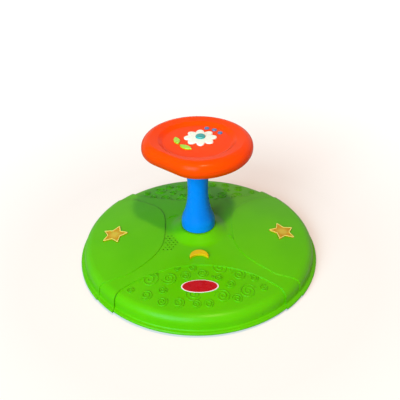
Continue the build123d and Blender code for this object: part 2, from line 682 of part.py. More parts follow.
def bracket_screws():
    """Two screws up through each bracket into the seat's bosses."""
    one = screw(BRACKET_PLATE + 7)
    z = BRACKET_Z - BRACKET_PLATE - ROLLER_Z
    pairs = [round_track(Pos(x, 0, z) * one) for x in (-BRACKET_SCREW_X, BRACKET_SCREW_X)]
    return pairs[0] + pairs[1]


# ---------------------------------------------------------------- lenses
def star_lens():
    """Star lens: proud rim round a dished face, flange and lamp cup below."""
    flange_z = -SEAT_SKIN - 2 * GAP - LENS_FLANGE_T
    body = Pos(0, 0, flange_z) * extrude(star(), STAR_PROUD - flange_z)
    body -= Pos(0, 0, STAR_PROUD - STAR_DISH) * extrude(star(-STAR_RIM), STAR_DISH + 1)
    body += Pos(0, 0, flange_z) * extrude(star(LENS_FLANGE_W), LENS_FLANGE_T)
    cup = extrude(Circle(LAMP_R + LAMP_CUP_WALL), -LAMP_CUP_H)
    body += Pos(0, 0, flange_z) * cup
    return body - Pos(0, 0, flange_z - LAMP_CUP_H) * extrude(Circle(LAMP_R + FIT), LAMP_L)


def star_lamp():
    """Small round-nosed lamp up inside the lens's cup."""
    flange_z = -SEAT_SKIN - 2 * GAP - LENS_FLANGE_T
    lamp = chamfer(extrude(Circle(LAMP_R), LAMP_L - 0.5).edges().sort_by(Axis.Z)[-1], LAMP_R * 0.5)
    lamp += extrude(Circle(LAMP_R + 0.6), -1)
    return Pos(0, 0, flange_z - LAMP_CUP_H) * lamp


# ---------------------------------------------------------------- moon button
def moon_button():
    """Crescent push button with a retaining flange and a stem to the switch."""
    flange_top = -SEAT_SKIN - GAP - 0.3
    flange_low = flange_top - MOON_FLANGE_T
    cap = extrude(moon(), MOON_PROUD - flange_low)
    cap = fillet(cap.edges().group_by(Axis.Z)[-1], MOON_EDGE)
    button = MOON_SHIFT * Pos(0, 0, flange_low) * cap
    button += MOON_SHIFT * Pos(0, 0, flange_low) * extrude(moon(MOON_FLANGE_W), MOON_FLANGE_T)
    stem_low = -BOARD_DEPTH + DOME_H + MOON_TRAVEL + GAP
    return button + Pos(0, 0, stem_low) * extrude(Circle(MOON_STEM_R), flange_low - stem_low + 1)


def switch_dome():
    """Rubber switch dome on the board under the stem."""
    dome = Pos(0, 0, -BOARD_DEPTH) * extrude(Circle(DOME_R), DOME_H)
    return fillet(dome.edges().sort_by(Axis.Z)[-1], 1.5)


def circuit_board():
    """Board held between the seat's bosses and the tray's posts."""
    board = Pos(0, 0, -BOARD_DEPTH - BOARD_T) * extrude(Rectangle(BOARD_W, BOARD_D), BOARD_T)
    hole = Pos(0, 0, -BOARD_DEPTH - BOARD_T - 1) * extrude(Circle(SCREW_R + FIT), BOARD_T + 2)
    return board - [spot * hole for spot in BOARD_SCREWS]


def board_tray():
    """Open-topped tray under the board."""
    w = BOARD_W + 2 * TRAY_CLEAR
    d = BOARD_D + 2 * TRAY_CLEAR
    low = -BOARD_DEPTH - BOARD_T - TRAY_DEPTH
    tray = Pos(0, 0, low) * extrude(Rectangle(w + 2 * TRAY_WALL, d + 2 * TRAY_WALL), TRAY_DEPTH + BOARD_T)
    tray = fillet(tray.edges().filter_by(Axis.Z), 3.0)
    tray -= Pos(0, 0, low + TRAY_WALL) * extrude(Rectangle(w, d), TRAY_DEPTH + BOARD_T)
    post = Pos(0, 0, low) * extrude(Circle(SCREW_BOSS_R - 0.5), TRAY_DEPTH)
    tray = fused([tray, *[spot * post for spot in BOARD_SCREWS]])
    hole = Pos(0, 0, low - 1) * extrude(Circle(SCREW_R + FIT), TRAY_DEPTH + 2)
    return tray - [spot * hole for spot in BOARD_SCREWS]


def tray_screws():
    """Four screws through tray and board into the seat."""
    one = Pos(0, 0, -BOARD_DEPTH - BOARD_T - TRAY_DEPTH) * screw(TRAY_DEPTH + BOARD_T + 8)
    return [spot * one for spot in BOARD_SCREWS]


# ---------------------------------------------------------------- speaker
def speaker():
    """Loudspeaker: rim, tapering basket and magnet, mouth up."""
    top = -SEAT_SKIN - GAP
    rim = top - SPEAKER_RIM_T
    basket = rim - SPEAKER_BASKET_H
    magnet = basket - MAGNET_H
    mouth = SPEAKER_R - 2
    return turned((0, magnet), (MAGNET_R, magnet), (MAGNET_R, basket), (MAGNET_R + 1, basket),
                  (SPEAKER_R - 1.5, rim), (SPEAKER_R, rim), (SPEAKER_R, top), (mouth, top),
                  (MAGNET_R - 4, basket + 3), (0, basket + 4))


def speaker_clamp():
    """Flat ring that holds the speaker's rim up against the seat."""
    z = -SEAT_SKIN - GAP - SPEAKER_RIM_T
    ring = Pos(0, 0, z - CLAMP_T) * extrude(Circle(CLAMP_R) - Circle(SPEAKER_R - 1), CLAMP_T)
    hole = Pos(0, 0, z - CLAMP_T - 1) * extrude(Circle(SCREW_R + FIT), CLAMP_T + 2)
    return ring - [spot * hole for spot in CLAMP_SCREWS]


def clamp_screws():
    """Three short screws through the clamp ring."""
    z = -SEAT_SKIN - GAP - SPEAKER_RIM_T - CLAMP_T
    return [spot * Pos(0, 0, z) * screw(CLAMP_T + 3) for spot in CLAMP_SCREWS]


# ---------------------------------------------------------------- batteries
def battery_box():
    """Box for three cells, open below, hung from the seat by two side tabs."""
    shell = block(BOX_W, BOX_D, BOX_FLOOR_Z, BOX_TOP_Z)
    shell = fillet(shell.edges().filter_by(Axis.Z), 2.0)
    tabs = block(BOX_W + 2 * BOX_TAB_W, BOX_D - 6, BOX_TOP_Z - 3, BOX_TOP_Z)
    box = shell + fillet(tabs.edges().filter_by(Axis.Z), 3.0)
    box -= block(BOX_W - 2 * BOX_WALL, BOX_D - 2 * BOX_WALL, BOX_FLOOR_Z - 1, BOX_TOP_Z - BOX_WALL)
    lug = Pos(0, -BOX_D / 2 - 3) * rod(4.0, BOX_FLOOR_Z, BOX_FLOOR_Z + 9)
    box += lug
    box -= Pos(0, -BOX_D / 2 - 3) * rod(SCREW_R + FIT, BOX_FLOOR_Z - 1, BOX_FLOOR_Z + 7)
    hole = rod(SCREW_R + FIT, BOX_TOP_Z - 4, BOX_TOP_Z + 1)
    return box - [spot * hole for spot in BOX_SCREWS]


def battery_door():
    """Door screwed over the box's open side, with a tab for its screw."""
    low = BOX_FLOOR_Z - DOOR_T
    plate = block(BOX_W, BOX_D, low, BOX_FLOOR_Z)
    plate = fillet(plate.edges().filter_by(Axis.Z), 2.0)
    door = plate + Pos(0, -BOX_D / 2 - 3) * rod(4.5, low, BOX_FLOOR_Z)
    for y in (-CELL_PITCH, 0, CELL_PITCH):
        door += Pos(0, y) * block(BOX_W / 2, 1.6, low, BOX_FLOOR_Z + 0.2)
    return door - Pos(0, -BOX_D / 2 - 3) * rod(SCREW_R + FIT, low - 1, BOX_FLOOR_Z + 1)


def door_screw():
    """Screw that locks the battery door."""
    return Pos(0, -BOX_D / 2 - 3, BOX_FLOOR_Z - DOOR_T) * screw(DOOR_T + 6)


def box_screws():
    """Four screws up through the box's tabs into the seat."""
    one = Pos(0, 0, BOX_TOP_Z - 3) * screw(3 + 4)
    return [spot * one for spot in BOX_SCREWS]


def batteries():
    """Three cells side by side, alternately reversed."""
    z = BOX_FLOOR_Z + 0.4 + CELL_R
    cell = Rot(0, 90, 0) * extrude(Circle(CELL_R), CELL_L / 2 - 0.6, both=True)
    cap = Rot(0, 90, 0) * extrude(Circle(2.7), CELL_L / 2 + 0.4)
    cell = cell + cap
    first = -(CELL_COUNT - 1) / 2
    return [Pos(0, (first + i) * CELL_PITCH, z) * Rot(0, 0, 180 * (i % 2)) * cell for i in range(CELL_COUNT)]


def battery_contacts():
    """Sprung-steel contact strips at both ends of the cells."""
    strip = block(CONTACT_T, BOX_D - 2 * BOX_WALL - 1, BOX_FLOOR_Z + 2, BOX_TOP_Z - BOX_WALL - 1)
    x = BOX_W / 2 - BOX_WALL - CONTACT_T / 2
    return [Pos(side * x, 0) * strip for side in (-1, 1)]


def label_plate():
    """Plain thin plate that follows the front panel's dome."""
    level = -PANEL_DROP
    prism = at_polar(LABEL_AT_R, 0) * extrude(Ellipse(LABEL_W / 2, LABEL_D / 2), 2 * HUB_TOP_Z)
    return (prism & seat_turning(level + LABEL_T)) - seat_turning(level)


# ---------------------------------------------------------------- handwheel
def wheel_form(inset=0.0):
    """Full-round disc with one flattened side, or its cavity."""
    side = WHEEL_FLAT - inset
    half_plane = Pos(0, side - SPAN / 2) * Rectangle(SPAN, SPAN)
    outline = (Circle(WHEEL_R - inset) & half_plane).face()
    chord = sqrt((WHEEL_R - inset) ** 2 - side ** 2)
    outline = rounded(outline, ((chord, side, 0), WHEEL_FLAT_BLEND), ((-chord, side, 0), WHEEL_FLAT_BLEND))
    form = Pos(0, 0, WHEEL_BOTTOM_Z + inset) * extrude(outline, WHEEL_H - 2 * inset)
    rims = form.edges().filter_by(lambda e: abs(e.tangent_at(0.5).Z) < 0.01)
    form = fillet(rims, WHEEL_EDGE_R - inset)
    return Rot(0, 0, WHEEL_FLAT_AZ + 180) * form


def dish_tool(inset=0.0):
    """What the dish takes out of the wheel's top, or with an inset its skin too."""
    floor = DISH_Z - inset
    lip = WHEEL_TOP_Z - DISH_LIP - inset
    wide = DISH_R + inset
    above = WHEEL_TOP_Z + 5
    crown = WHEEL_RIM_CROWN_R + inset
    face = make_face(Polyline(pt(0, floor), pt(wide - DISH_RAMP, floor), pt(wide, lip),
                              pt(crown, WHEEL_TOP_Z + 0.1), pt(crown, above), pt(0, above), close=True))
    return revolve(rounded(face, (pt(wide - DISH_RAMP, floor), 6.0)), Axis.Z)


WHEEL_SCREW_PLACES = [at_polar(WHEEL_SCREW_RING_R, 360 / WHEEL_SCREWS * (i + 0.5)) for i in range(WHEEL_SCREWS)]
FLOWER_PLACE = Pos(FLOWER_X, FLOWER_Y, DISH_Z)
PEG_PLACES = [Rot(0, 0, 120 * i) * Pos(0, PETAL_RING_R) for i in range(3)]
LEAF_PLACES = [FLOWER_PLACE * Rot(0, 0, a) * Pos(0, -LEAF_RING_R) for a in LEAF_AZ]
DOT_PLACES = [FLOWER_PLACE * Rot(0, 0, a) * Pos(0, -DOT_RING_R) for a in DOT_AZ]


def wheel_lower_shell():
    """Lower half of the handwheel with the socket for the column."""
    form = wheel_form()
    half = form & block(SPAN, SPAN, 0, WHEEL_SEAM_Z)
    shell = half - wheel_form(WHEEL_SKIN)
    floor = WHEEL_BOTTOM_Z
    socket = rod(COVER_TOP_R + LOOSE + WHEEL_SKIN, floor, COVER_TOP_Z + WHEEL_SKIN)
    boss = rod(SHAFT_R + FIT + 3.5, floor, WHEEL_SEAM_Z)
    web = Pos(0, 0, floor + 1) * extrude(Rectangle(2 * (WHEEL_SCREW_RING_R - 2), 2.0), WHEEL_H / 2 - 6)
    posts = [place * rod(WHEEL_BOSS_R, floor + 1, WHEEL_SEAM_Z) for place in WHEEL_SCREW_PLACES]
    shell = fused([shell, socket, boss, web, Rot(0, 0, 90) * web, *posts])
    cuts = [rod(COVER_TOP_R + LOOSE, floor - 1, COVER_TOP_Z), rod(SHAFT_R + FIT, floor, WHEEL_SEAM_Z + 1),
            cross_hole(WHEEL_PIN_Z, SHAFT_R + 8)]
    for place in WHEEL_SCREW_PLACES:
        cuts.append(place * rod(SCREW_R + FIT, floor - 1, WHEEL_SEAM_Z + 1))
        cuts.append(place * rod(SCREW_HEAD_R + 0.4, floor - 1, floor + 8))
    return shell - cuts


def wheel_upper_shell():
    """Upper half of the handwheel with the dished top."""
    half = wheel_form() & block(SPAN, SPAN, WHEEL_SEAM_Z, WHEEL_TOP_Z + 1)
    cavity = wheel_form(WHEEL_SKIN) - dish_tool(WHEEL_SKIN)
    posts = fused([place * rod(WHEEL_BOSS_R, WHEEL_SEAM_Z, DISH_Z - 1) for place in WHEEL_SCREW_PLACES])
    shell = fused([half - dish_tool() - cavity, posts])
    cuts = [place * rod(SCREW_R + FIT, WHEEL_SEAM_Z - 1, DISH_Z - WHEEL_SKIN) for place in WHEEL_SCREW_PLACES]
    peg_hole = Pos(0, 0, -WHEEL_SKIN - 1) * extrude(Circle(PEG_R + FIT), WHEEL_SKIN + 2)
    cuts += [place * peg_hole for place in [FLOWER_PLACE * p for p in PEG_PLACES] + LEAF_PLACES + DOT_PLACES]
    return shell - cuts


def wheel_screws():
    """Screws up through the lower shell into the upper one."""
    one = Pos(0, 0, WHEEL_BOTTOM_Z + 8) * screw(WHEEL_H / 2 - 8 + 5)
    return [place * one for place in WHEEL_SCREW_PLACES]


def flower_petals():
    """One-piece ring of petals with three pegs into the dish."""
    petal = Pos(0, PETAL_RING_R) * Ellipse(PETAL_W, PETAL_L)
    plan = Circle(PETAL_RING_R - PETAL_L / 2)
    for i in range(PETALS):
        plan += Rot(0, 0, 360 / PETALS * i) * petal
    plate = extrude(plan, PETAL_T)
    plate = fillet(plate.edges().group_by(Axis.Z)[-1], 1.0)
    peg = extrude(Circle(PEG_R), -(WHEEL_SKIN - 0.1))
    return FLOWER_PLACE * fused([plate, *[spot * peg for spot in PEG_PLACES]])


def flower_eye():
    """Domed centre glued on the petals."""
    eye = Pos(0, 0, PETAL_T) * extrude(Circle(FLOWER_EYE_R), FLOWER_EYE_H)
    return FLOWER_PLACE * fillet(eye.edges().sort_by(Axis.Z)[-1], FLOWER_EYE_H * 0.8)


def flower_leaves():
    """Two pointed leaves beside the flower, each on a peg."""
    half_w = LEAF_W
    blade = make_face([ThreePointArc((0, -LEAF_L), (half_w, 0), (0, LEAF_L)),
                       ThreePointArc((0, LEAF_L), (-half_w, 0), (0, -LEAF_L))])
    blade = fillet(extrude(blade, TRIM_T).edges().group_by(Axis.Z)[-1], 0.6)
    leaf = blade + extrude(Circle(PEG_R), -(WHEEL_SKIN - 0.1))
    return [place * Rot(0, 0, 90) * leaf for place in LEAF_PLACES]


def dish_dots():
    """Three round studs in the dish, each on a peg."""
    dot = fillet(extrude(Circle(DOT_R), TRIM_T).edges().sort_by(Axis.Z)[-1], 1.4)
    dot += extrude(Circle(PEG_R), -(WHEEL_SKIN - 0.1))
    return [place * dot for place in DOT_PLACES]


# ---------------------------------------------------------------- the pieces
PIECES = {
    "rubber_feet": rubber_feet(),
    "floor_base": floor_base(),
    "shaft_flange": shaft_flange(),
    "flange_screws": flange_screws(),
    "flange_pin": cross_pin(FLANGE_PIN_Z, FLANGE_NECK_R),
    "centre_shaft": centre_shaft(),
    "thrust_washer": thrust_washer(),
    "shaft_collar": shaft_collar(),
    "collar_pin": cross_pin(COLLAR_PIN_Z, COLLAR_R),
    "post_cover": post_cover(),
    "wheel_lower_shell": wheel_lower_shell(),
    "wheel_upper_shell": wheel_upper_shell(),
    "wheel_pin": cross_pin(WHEEL_PIN_Z, SHAFT_R + 5),
    "wheel_screws": wheel_screws(),
    "flower_petals": flower_petals(),
    "flower_eye": flower_eye(),
    "flower_leaves": flower_leaves(),
    "dish_dots": dish_dots(),
    "seat_disc": seat_disc(),
    "hub_bush": hub_bush(),
    "roller_brackets": round_track(roller_bracket()),
    "bracket_screws": bracket_screws(),
    "roller_axles": round_track(roller_axle()),
    "moon_button": MOON_PLACE * moon_button(),
    "switch_dome": MOON_PLACE * switch_dome(),
    "circuit_board": MOON_PLACE * circuit_board(),
    "board_tray": MOON_PLACE * board_tray() - round_track(bracket_room()),
    "tray_screws": [MOON_PLACE * s for s in tray_screws()],
    "speaker": SPEAKER_PLACE * speaker(),
    "speaker_clamp": SPEAKER_PLACE * speaker_clamp(),
    "clamp_screws": [SPEAKER_PLACE * s for s in clamp_screws()],
    "battery_box": BOX_PLACE * battery_box(),
    "battery_door": BOX_PLACE * battery_door(),
    "door_screw": BOX_PLACE * door_screw(),
    "box_screws": [BOX_PLACE * s for s in box_screws()],
    "batteries": [BOX_PLACE * c for c in batteries()],
    "battery_contacts": [BOX_PLACE * c for c in battery_contacts()],
    "label_plate": label_plate(),
}
for side, place in zip(("left", "right"), STAR_PLACES):
    PIECES[f"star_lens_{side}"] = place * star_lens()
PIECES["star_lamps"] = [place * star_lamp() for place in STAR_PLACES]
for number, wheel in enumerate(round_track(roller()), start=1):
    PIECES[f"roller_{number}"] = wheel

for name, shape in PIECES.items():
    save(name, shape)
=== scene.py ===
import bmesh
import bpy
import numpy as np
from mathutils import Matrix


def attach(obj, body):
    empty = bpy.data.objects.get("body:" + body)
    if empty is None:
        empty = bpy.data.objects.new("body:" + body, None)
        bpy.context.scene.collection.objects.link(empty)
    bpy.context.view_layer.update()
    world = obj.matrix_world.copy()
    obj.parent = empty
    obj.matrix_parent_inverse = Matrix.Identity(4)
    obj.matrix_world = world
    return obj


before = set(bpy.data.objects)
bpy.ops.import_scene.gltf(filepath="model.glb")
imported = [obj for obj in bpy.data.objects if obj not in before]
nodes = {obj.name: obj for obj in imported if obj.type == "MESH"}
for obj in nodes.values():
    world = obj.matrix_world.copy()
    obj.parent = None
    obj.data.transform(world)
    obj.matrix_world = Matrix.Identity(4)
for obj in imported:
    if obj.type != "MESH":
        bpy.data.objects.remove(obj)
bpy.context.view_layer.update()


# ---------------------------------------------------------------- rubber feet
# Six pads of black thermoplastic rubber, moulded with a matt grain and pressed into seats under the
# base. They look dull and near black, a little greyer in patches where floor dust clings.
CLOUD_LOW = 0.3     # nearly all values of a noise pattern lie between these two
CLOUD_HIGH = 0.7


def linear(code):
    """sRGB hex to linear light: c / 12.92 in the dark, ((c + 0.055) / 1.055) ^ 2.4 above it."""
    parts = [int(code[i:i + 2], 16) / 255 for i in (1, 3, 5)]
    return [c / 12.92 if c < 0.04045 else ((c + 0.055) / 1.055) ** 2.4 for c in parts] + [1.0]


def add(tree, kind, inputs=None, **settings):
    """Adds one shader node; inputs maps its sockets to values or to other nodes' outputs."""
    made = tree.nodes.new("ShaderNode" + kind)
    for name, value in settings.items():
        setattr(made, name, value)
    for socket, value in (inputs or {}).items():
        if isinstance(value, bpy.types.NodeSocket):
            tree.links.new(value, made.inputs[socket])
        else:
            made.inputs[socket].default_value = value
    return made


def per_metre(size_mm):
    """Scale of a pattern whose features repeat every size_mm."""
    return 1000.0 / size_mm


def blank(name):
    """An empty material and its tree, with Object coordinates at hand."""
    made = bpy.data.materials.new(name)
    made.use_nodes = True
    made.node_tree.nodes.clear()
    place = add(made.node_tree, "TexCoord").outputs["Object"]
    return made, made.node_tree, place


def drift(tree, place, size_mm, low, high, detail=2.0):
    """Value that drifts from low to high in soft clouds size_mm across."""
    clouds = add(tree, "TexNoise", {"Vector": place, "Scale": per_metre(size_mm), "Detail": detail})
    return add(tree, "MapRange", {"Value": clouds.outputs["Fac"], "From Min": CLOUD_LOW, "From Max": CLOUD_HIGH,
                                  "To Min": low, "To Max": high}).outputs["Result"]


def tinted(tree, place, light, dark, size_mm):
    """Two close tones of one colour in soft clouds size_mm across."""
    clouds = drift(tree, place, size_mm, 0.0, 1.0)
    return add(tree, "Mix", {0: clouds, 6: linear(dark), 7: linear(light)}, data_type="RGBA").outputs[2]


def rounded_grain(tree, place, edge_mm, grain_mm, depth_mm):
    """Normal of a surface with rounded edges and a moulded grain."""
    edge = add(tree, "Bevel", {"Radius": edge_mm / 1000}, samples=4).outputs["Normal"]
    grain = add(tree, "TexNoise", {"Vector": place, "Scale": per_metre(grain_mm), "Detail": 3.0}).outputs["Fac"]
    return add(tree, "Bump", {"Height": grain, "Distance": depth_mm / 1000, "Strength": 1.0,
                              "Normal": edge}).outputs["Normal"]


def shade(tree, colour, roughness, normal, **fixed):
    """Principled surface with its colour, roughness and normal; fixed sets plain sockets."""
    surface = add(tree, "BsdfPrincipled", {"Base Color": colour, "Roughness": roughness, "Normal": normal})
    for socket, value in fixed.items():
        surface.inputs[socket.replace("_", " ")].default_value = value
    add(tree, "OutputMaterial", {"Surface": surface.outputs["BSDF"]})


def finish(material, *names):
    """Gives CAD nodes their material."""
    for name in names:
        nodes[name].data.materials.clear()
        nodes[name].data.materials.append(material)


rubber, tree, place = blank("black_rubber_moulded")
shade(tree, tinted(tree, place, "#2b2b2a", "#191919", 9.0), drift(tree, place, 5.0, 0.68, 0.82),
      rounded_grain(tree, place, 0.5, 1.2, 0.05), IOR=1.52)
finish(rubber, "rubber_feet")


# ---------------------------------------------------------------- floor base
# The round pan that stands still on the floor, moulded in the seat's green polypropylene. Its grain
# is coarser and its gloss lower than the seat's, as on hidden mouldings, so it looks a shade duller.
def moulded(name, light, dark, edge_mm=0.7, grain_mm=1.1, grain_depth_mm=0.012, rough=(0.30, 0.38), **fixed):
    """Injection-moulded plastic: close tones from the flow, handled gloss, soft edges and a fine grain.

    The real grain is near 0.1 mm; it is drawn about ten times coarser so that it shows at all.
    """
    material, tree, place = blank(name)
    shade(tree, tinted(tree, place, light, dark, 70.0), drift(tree, place, 22.0, *rough, detail=4.0),
          rounded_grain(tree, place, edge_mm, grain_mm, grain_depth_mm), **{"IOR": 1.49, **fixed})
    return material


base_green = moulded("base_green_polypropylene", "#4f9d12", "#468e0e", grain_mm=1.8, grain_depth_mm=0.03,
                     rough=(0.40, 0.52))
finish(base_green, "floor_base")


# ---------------------------------------------------------------- steel tube, pins, axles and screws
# A steel tube carries everything that stands; pins, roller axles and screws are steel too, and all of
# them are zinc plated. The plate is bright, and fine marks of drawing or turning run along it.
def plated_steel(name, lines_mm, rough):
    """Zinc plate over drawn or turned steel, with marks lines_mm apart stretched along Z.

    The real marks are near 0.1 mm apart; they are drawn wider so that they show.
    """
    material, tree, place = blank(name)
    stretched = add(tree, "Mapping", {"Vector": place, "Scale": (1.0, 1.0, 0.03)}).outputs["Vector"]
    marks = add(tree, "TexNoise", {"Vector": stretched, "Scale": per_metre(lines_mm), "Detail": 4.0}).outputs["Fac"]
    worn = add(tree, "MapRange", {"Value": marks, "From Min": CLOUD_LOW, "From Max": CLOUD_HIGH,
                                  "To Min": rough - 0.06, "To Max": rough + 0.08}).outputs["Result"]
    lines = add(tree, "Bump", {"Height": marks, "Distance": 0.00002}).outputs["Normal"]
    shade(tree, tinted(tree, place, "#c9ccd0", "#a7abb0", 14.0), worn, lines, Metallic=1.0)
    return material


tube_steel = plated_steel("drawn_steel_zinc_plated", 0.8, 0.30)
finish(tube_steel, "centre_shaft", "roller_axles")
screw_steel = plated_steel("cold_headed_screw_steel", 0.5, 0.34)
finish(screw_steel, "flange_screws", "flange_pin", "collar_pin", "wheel_pin", "bracket_screws", "clamp_screws",
       "tray_screws", "box_screws", "door_screw", "wheel_screws", "battery_contacts")


# ---------------------------------------------------------------- nylon bush, washer, collar and rollers
# What slides or rolls is moulded in natural nylon: the hub's bush on the tube, the washer and collar
# that hold it, and six rollers. It looks milky, because a little light passes into it.
nylon = moulded("natural_nylon_moulded", "#e6e1d2", "#dcd6c4", rough=(0.36, 0.46), IOR=1.53,
                Subsurface_Weight=0.08, Subsurface_Scale=0.002)
finish(nylon, "hub_bush", "thrust_washer", "shaft_collar", "roller_1", "roller_2", "roller_3", "roller_4",
       "roller_5", "roller_6")


# ---------------------------------------------------------------- grey mouldings underneath
# The tube's flange, the roller brackets, the board's tray, the speaker's clamp and the battery box
# with its door are grey ABS, screwed in place. They are left plain, so they look flat and matt.
grey_plastic = moulded("grey_abs_moulded", "#5b5f64", "#515559", rough=(0.42, 0.52), IOR=1.54)
finish(grey_plastic, "shaft_flange", "roller_brackets", "board_tray", "speaker_clamp", "battery_box",
       "battery_door")


# ---------------------------------------------------------------- seat disc
# The domed seat that spins: one large green polypropylene moulding, with sunk end panels and raised
# side panels. Its colour drifts slightly where the melt flowed out from the hub, the skin reflects
# little, so the green stays deep, and painted shade darkens the grille's holes and other deep recesses.
GRILLE_SHELTER = 0.003              # metres; a hole's inside sees little of its surroundings this near
FULL_SHADE, NO_SHADE = 0.12, 0.50          # how open a spot is where it takes the full painted shade, and where it takes none

seat_green, tree, place = blank("green_polypropylene_gloss")
flattened = add(tree, "Mapping", {"Vector": place, "Scale": (1.0, 1.0, 0.4)}).outputs["Vector"]
flow = drift(tree, flattened, 90.0, 0.0, 1.0, detail=3.0)
fresh = add(tree, "Mix", {0: flow, 6: linear("#56ad00"), 7: linear("#5eb502")}, data_type="RGBA").outputs[2]
# painted shade: where ambient occlusion finds little open round a spot, as inside the grille's holes, the green is
# mixed towards a dark green
openness = add(tree, "AmbientOcclusion", {"Distance": GRILLE_SHELTER}, samples=6).outputs["AO"]
unshaded_share = add(tree, "MapRange", {"Value": openness, "From Min": FULL_SHADE, "From Max": NO_SHADE}).outputs["Result"]
seat_tone_and_painted_shade = add(tree, "Mix", {0: unshaded_share, 6: linear("#1d3f04"), 7: fresh}, data_type="RGBA").outputs[2]
shade(tree, seat_tone_and_painted_shade, drift(tree, place, 30.0, 0.28, 0.36, detail=5.0), rounded_grain(tree, place, 2.0, 1.3, 0.010),
      IOR=1.49, Specular_IOR_Level=0.10, Subsurface_Weight=0.05, Subsurface_Scale=0.004)
finish(seat_green, "seat_disc")


# ---------------------------------------------------------------- curls on the end panels
# About two dozen raised curls fill each sunk end panel for grip, moulded with the seat and green as
# it is. Each is a low half-round ridge, coiled twice, that fades out at both ends.
CROWN_APEX = 59.0
CROWN_RADIUS = 1230.0
PANEL_DROP = 2.6
SHOULDER_START = 209.0
SHOULDER_RADIUS = 19.0


def panel_height(x, y):
    """Sunk panel's top: a sphere about the axis, rounded off at the shoulder, less the drop."""
    r = np.hypot(x, y)
    shoulder = np.clip(r - SHOULDER_START, 0, None) ** 2 / (2 * SHOULDER_RADIUS)
    return CROWN_APEX - CROWN_RADIUS + np.sqrt(CROWN_RADIUS ** 2 - r ** 2) - PANEL_DROP - shoulder


def ridges(paths, widths, heights, surface, sink=0.6, around=10):
    """Half-round ridges on a surface, one per path.

    Across a ridge the points run round an ellipse, width wide and height tall, whose lower half is
    squashed to the sink below the surface. Along it, width and height fall to nothing at both ends
    as (1 - (2t - 1)^6)^0.5.
    """
    t = np.linspace(0, 1, paths.shape[1])
    fade = np.sqrt(np.clip(1 - (2 * t - 1) ** 6, 0, None))[None, :, None]
    run = np.gradient(paths, axis=1)
    run /= np.linalg.norm(run, axis=2, keepdims=True)
    side = np.stack([-run[..., 1], run[..., 0]], -1)[:, :, None, :]
    turn = np.linspace(0, 2 * np.pi, around, endpoint=False)
    across = fade * widths[:, None, None] / 2 * np.cos(turn)
    rise = np.where(np.sin(turn) > 0, heights[..., None] * np.sin(turn), sink * np.sin(turn)) * fade
    plan = paths[:, :, None, :] + side * across[..., None]
    level = surface(plan[..., 0], plan[..., 1]) + rise
    return np.concatenate([plan, level[..., None]], -1)


def grid_faces(count, along, around):
    """Quads of count closed tubes, each with along rings of around points, as indices."""
    c, i, k = np.meshgrid(np.arange(count), np.arange(along - 1), np.arange(around), indexing="ij")
    ring = (c * along + i) * around
    after = (k + 1) % around
    return np.stack([ring + k, ring + after, ring + around + after, ring + around + k], -1).reshape(-1, 4)


def seat_relief(name, points, faces):
    """Relief of the seat's own moulding, in metres from points in mm.

    Doubles are merged, which closes the ends, and the faces are turned outward.
    """
    mesh = bpy.data.meshes.new(name)
    mesh.from_pydata((points.reshape(-1, 3) / 1000).tolist(), [], faces.tolist())
    shape = bmesh.new()
    shape.from_mesh(mesh)
    bmesh.ops.remove_doubles(shape, verts=shape.verts, dist=0.00001)
    bmesh.ops.recalc_face_normals(shape, faces=shape.faces)
    shape.to_mesh(mesh)
    shape.free()
    mesh.shade_smooth()
    mesh.materials.append(seat_green)
    relief = bpy.data.objects.new(name, mesh)
    bpy.context.collection.objects.link(relief)
    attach(relief, "seat")


# x, y, radius, and where the outer end of the coil points, in degrees; a minus radius coils clockwise
CURLS = np.array([
    (-122, -153, 7.0, 35), (-89, -133, 17, 200), (-54, -133, -12.8, 185), (-79, -122, 5.0, 30),
    (-93, -167, -10, 215), (-65, -158, 8.2, 20), (-65, -183, 9.4, 40), (-37, -187, -10, 240),
    (-7, -191, -8.2, 250), (-25, -129, 9.6, 190), (-13, -111, -7.2, 300), (-40, -111, 6.5, 270),
    (-12, -170, 14, 340), (5, -124, 9.9, 30), (38, -111, -17, 330), (54, -148, -8.5, 200),
    (70, -127, 12.6, 180), (33, -135, -7.6, 300), (22, -133, 3, 90), (39, -175, 13.4, 190),
    (84, -164, -14.6, 20), (64, -180, 9.2, 200), (97, -134, 8.4, 150), (113, -155, -7.5, 60),
    (15, -191, 8.6, 200)])
CURL_TURNS = 2.2
CURL_POINTS = 64
CURL_REACH = 1.08           # outer end's radius over the radius in the table
CURL_EYE = 0.10             # inner end's radius over the outer end's
CURL_HEIGHT = 1.4
CURL_SLIMNESS = 0.26        # ridge's width over the curl's radius
CURL_WIDTHS = (1.6, 2.8)
LABEL_CENTRE = np.array([0.0, -153.5])
LABEL_HALF = np.array([33.0, 14.0])
LABEL_MARGIN = 1.5

# a coil's radius grows evenly from its eye to its reach while its angle turns CURL_TURNS times
coil = np.linspace(0, 1, CURL_POINTS)
hand = np.sign(CURLS[:, 2])[:, None]
reach = CURL_REACH * np.abs(CURLS[:, 2])[:, None]
angle = np.radians(CURLS[:, 3])[:, None] - hand * 2 * np.pi * CURL_TURNS * (1 - coil)
radius = reach * (CURL_EYE + (1 - CURL_EYE) * coil)
coils = np.stack([CURLS[:, :1] + radius * np.cos(angle), CURLS[:, 1:2] + radius * np.sin(angle)], -1)
# the ridge dips below the surface where it comes within the margin round the label's oval
off_label = np.linalg.norm((coils - LABEL_CENTRE) / (LABEL_HALF + LABEL_MARGIN), axis=2)
curl_height = CURL_HEIGHT * np.clip((off_label - 1.0) / 0.08, -0.5, 1)
curl_width = np.clip(reach[:, 0] * CURL_SLIMNESS, *CURL_WIDTHS)
front_curls = ridges(coils, curl_width, curl_height, panel_height)
half_turn = np.array([-1.0, -1.0, 1.0])
curl_faces = grid_faces(len(CURLS), CURL_POINTS, front_curls.shape[2])
seat_relief("front_panel_curls", front_curls, curl_faces)
seat_relief("back_panel_curls", front_curls * half_turn, curl_faces)


